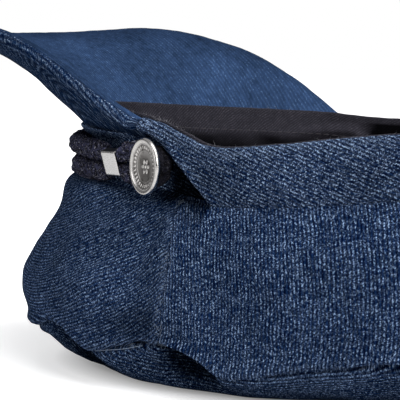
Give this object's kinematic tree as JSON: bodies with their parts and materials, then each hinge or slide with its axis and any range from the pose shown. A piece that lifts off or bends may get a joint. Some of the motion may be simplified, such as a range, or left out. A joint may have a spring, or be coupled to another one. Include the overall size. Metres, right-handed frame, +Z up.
{
  "type": "skipper cap",
  "caption": "Soft denim skipper cap lying upside down on its crown: peak, band, panelled crown, braided cord with slides and metal buttons, sweatband and lining.",
  "frame": {"origin": "on the surface that the cap lies on, under the middle of its head opening", "axes": "+Z up, out of the upturned head opening; -Y towards the front of the cap, where the peak is; +X towards the wearer's right side"},
  "size_m": [0.194, 0.2618, 0.0962],
  "materials": {
    "denim": "matte indigo twill",
    "peak_denim": "matte lighter indigo twill",
    "sweatband_cotton": "matte grey cotton",
    "lining_cloth": "dull dark lining cloth",
    "cord_braid": "matte braided wool",
    "polished_steel": "polished nickel silver"
  },
  "bodies": {
    "root": {"crown_top": "denim", "crown_panel_front_right": "denim", "crown_panel_back_right": "denim", "crown_panel_back_left": "denim", "crown_panel_front_left": "denim", "band": "denim", "peak_under": "peak_denim", "peak_outer": "denim", "sweatband": "sweatband_cotton", "lining": "lining_cloth", "braided_cord": "cord_braid", "slide_right": "polished_steel", "slide_left": "polished_steel", "button_right": "polished_steel", "button_left": "polished_steel"}
  },
  "joints": []
}
